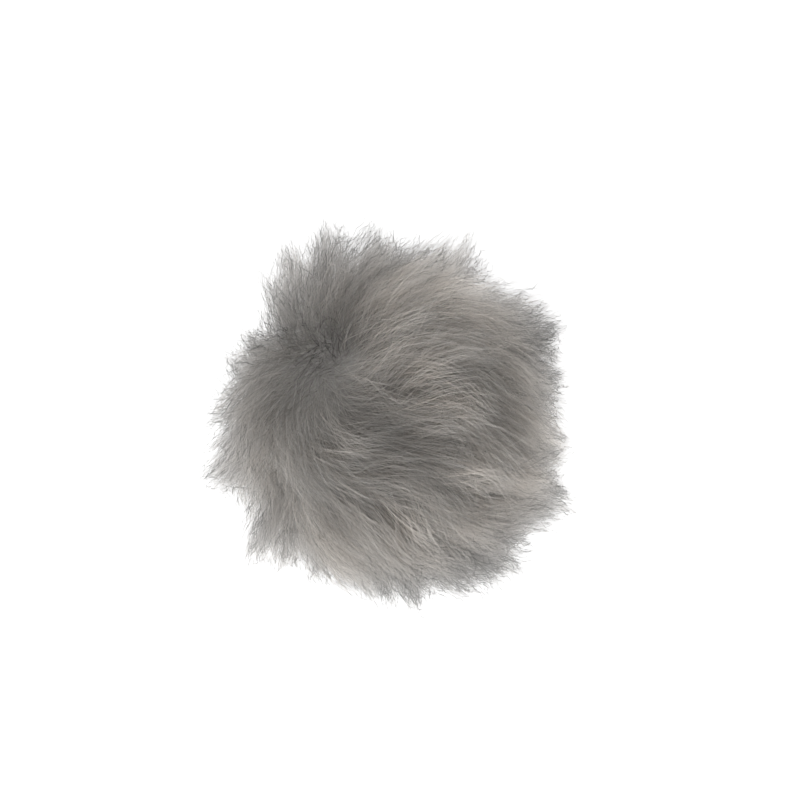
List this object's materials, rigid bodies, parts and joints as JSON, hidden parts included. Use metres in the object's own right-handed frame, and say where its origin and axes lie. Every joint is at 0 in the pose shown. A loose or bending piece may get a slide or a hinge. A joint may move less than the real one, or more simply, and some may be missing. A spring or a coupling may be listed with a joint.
{
  "type": "faux-fur pom pom",
  "caption": "Round fluffy pom pom of long silky grey faux fur, its pile combed away from a parting on the upper side, resting on a small flat spot.",
  "frame": {"origin": "middle of the bounding box of the pom pom, on the surface that it rests on", "axes": "+Z up from the flat spot through the ball; +X is to the right and +Y is up in the picture, which looks straight down on it"},
  "size_m": [0.1172, 0.1248, 0.1074],
  "materials": {
    "grey_fur": "long silky pile, warm grey, paler at the tips"
  },
  "bodies": {
    "root": {"fur_ball": "grey_fur"}
  },
  "joints": []
}
